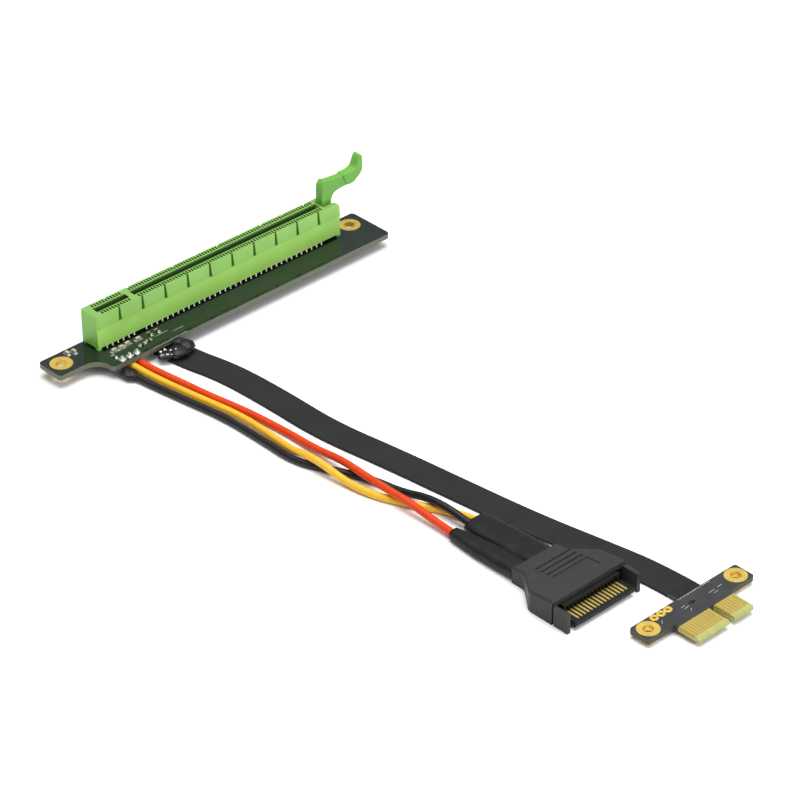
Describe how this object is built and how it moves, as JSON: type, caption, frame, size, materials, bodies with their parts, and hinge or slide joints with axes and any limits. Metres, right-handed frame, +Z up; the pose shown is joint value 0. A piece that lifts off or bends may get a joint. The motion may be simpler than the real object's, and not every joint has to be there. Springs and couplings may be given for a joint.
{
  "type": "pcie riser card",
  "caption": "Card slot board with a retention latch, joined by a flat cable to a small edge card and by three wires to a flat power plug.",
  "frame": {"origin": "midway between the long board's two mounting holes, on the board's underside", "axes": "+X along the card slot towards its latch, +Y away from the cables, +Z up out of the slot"},
  "size_m": [0.1212, 0.2272, 0.0272],
  "materials": {
    "board_mask": "glossy dark solder mask",
    "gold_plating": "gold plated copper",
    "slot_green": "moulded light green, satin",
    "contact_metal": "plated spring metal",
    "chip_ceramic": "chip capacitor ceramic",
    "chip_black": "chip resistor body",
    "solder": "bright solder",
    "dark_glue": "dark hot glue",
    "cable_charcoal": "charcoal cable jacket",
    "tie_black": "black strap",
    "card_mask": "glossy grey-black solder mask",
    "wire_black": "black insulation",
    "wire_yellow": "yellow insulation",
    "wire_orange": "orange insulation",
    "sleeve_black": "heat-shrink sleeve",
    "plug_grey": "dark grey moulding"
  },
  "bodies": {
    "riser": {"slot_board": "board_mask", "slot_board_plating": "gold_plating", "slot_housing": "slot_green", "front_contacts": "contact_metal", "back_contacts": "contact_metal", "chip_capacitors": "chip_ceramic", "chip_resistors": "chip_black", "power_solder_joints": "solder", "slot_cable_joint": "solder", "cable_glue": "dark_glue", "flat_cable_lead": "cable_charcoal", "flat_cable_hank": "cable_charcoal", "hank_tie": "tie_black", "flat_cable": "cable_charcoal", "edge_card": "card_mask", "edge_fingers_top": "gold_plating", "edge_fingers_bottom": "gold_plating", "edge_card_plating": "gold_plating", "header_plating": "gold_plating", "card_cable_joint": "solder", "wire_black": "wire_black", "wire_yellow": "wire_yellow", "wire_orange": "wire_orange", "single_wire_sleeve": "sleeve_black", "double_wire_sleeve": "sleeve_black", "plug_housing": "plug_grey", "plug_insert": "plug_grey", "plug_contacts": "gold_plating"},
    "latch": {"slot_latch": "slot_green"}
  },
  "joints": [
    {"name": "latch_hinge", "type": "hinge", "parent": "riser", "child": "latch", "pos_m": [0.0466, 0.0011, 0.005], "axis": [0, 1, 0], "range_deg": [0, 25]}
  ]
}
